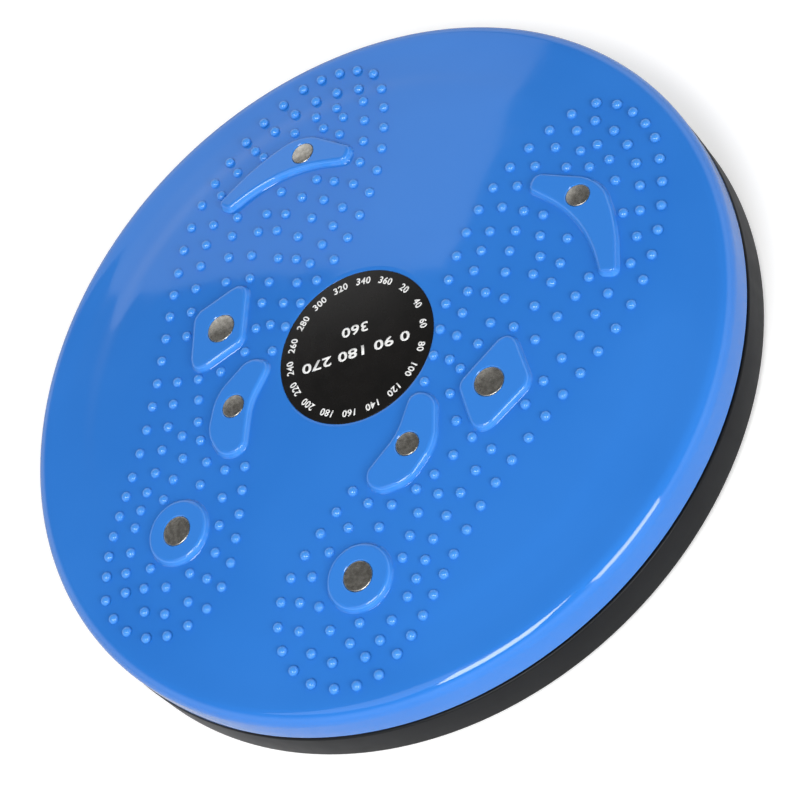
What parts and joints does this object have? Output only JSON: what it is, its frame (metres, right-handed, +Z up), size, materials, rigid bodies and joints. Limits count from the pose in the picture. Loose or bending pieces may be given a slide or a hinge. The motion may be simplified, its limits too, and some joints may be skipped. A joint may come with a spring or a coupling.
{
  "type": "waist twisting disc",
  "caption": "Round exercise disc for standing on: a domed plate with two foot-shaped fields of massage bumps, raised pads and inlaid magnets turns on a ring of balls over a low base.",
  "frame": {"origin": "on the floor under the pivot, at the middle of the disc", "axes": "+Z up along the pivot axis; +Y towards the toes of someone standing on the disc; +X towards the right foot"},
  "size_m": [0.25, 0.25, 0.0367],
  "materials": {
    "plate_plastic": "glossy moulded blue",
    "base_plastic": "satin moulded black",
    "label_film": "printed film, black with white marks",
    "magnet_plating": "nickel plated",
    "steel": "zinc plated",
    "acetal": "natural acetal",
    "foot_rubber": "matte"
  },
  "bodies": {
    "base": {"base_shell": "base_plastic", "spacer_sleeve": "steel", "thrust_washer": "acetal", "upper_washer": "steel", "lower_washer": "steel", "pivot_bolt": "steel", "pivot_nut": "steel", "rubber_foot_1": "foot_rubber", "rubber_foot_2": "foot_rubber", "rubber_foot_3": "foot_rubber", "rubber_foot_4": "foot_rubber", "rubber_foot_5": "foot_rubber", "rubber_foot_6": "foot_rubber"},
    "plate": {"top_plate": "plate_plastic", "centre_label": "label_film", "flanged_bush": "acetal", "right_toe_magnet": "magnet_plating", "left_toe_magnet": "magnet_plating", "right_ball_magnet": "magnet_plating", "left_ball_magnet": "magnet_plating", "right_arch_magnet": "magnet_plating", "left_arch_magnet": "magnet_plating", "right_heel_magnet": "magnet_plating", "left_heel_magnet": "magnet_plating"},
    "cage": {"ball_cage": "acetal", "bearing_balls": "steel"}
  },
  "joints": [
    {"name": "twist", "type": "hinge", "parent": "base", "child": "plate", "pos_m": [0, 0, 0], "axis": [0, 0, 1], "continuous": true},
    {"name": "cage_turn", "type": "hinge", "parent": "base", "child": "cage", "pos_m": [0, 0, 0], "axis": [0, 0, 1], "continuous": true}
  ],
  "couplings": [
    {"joint": "cage_turn", "follows": "twist", "ratio": 0.5}
  ]
}
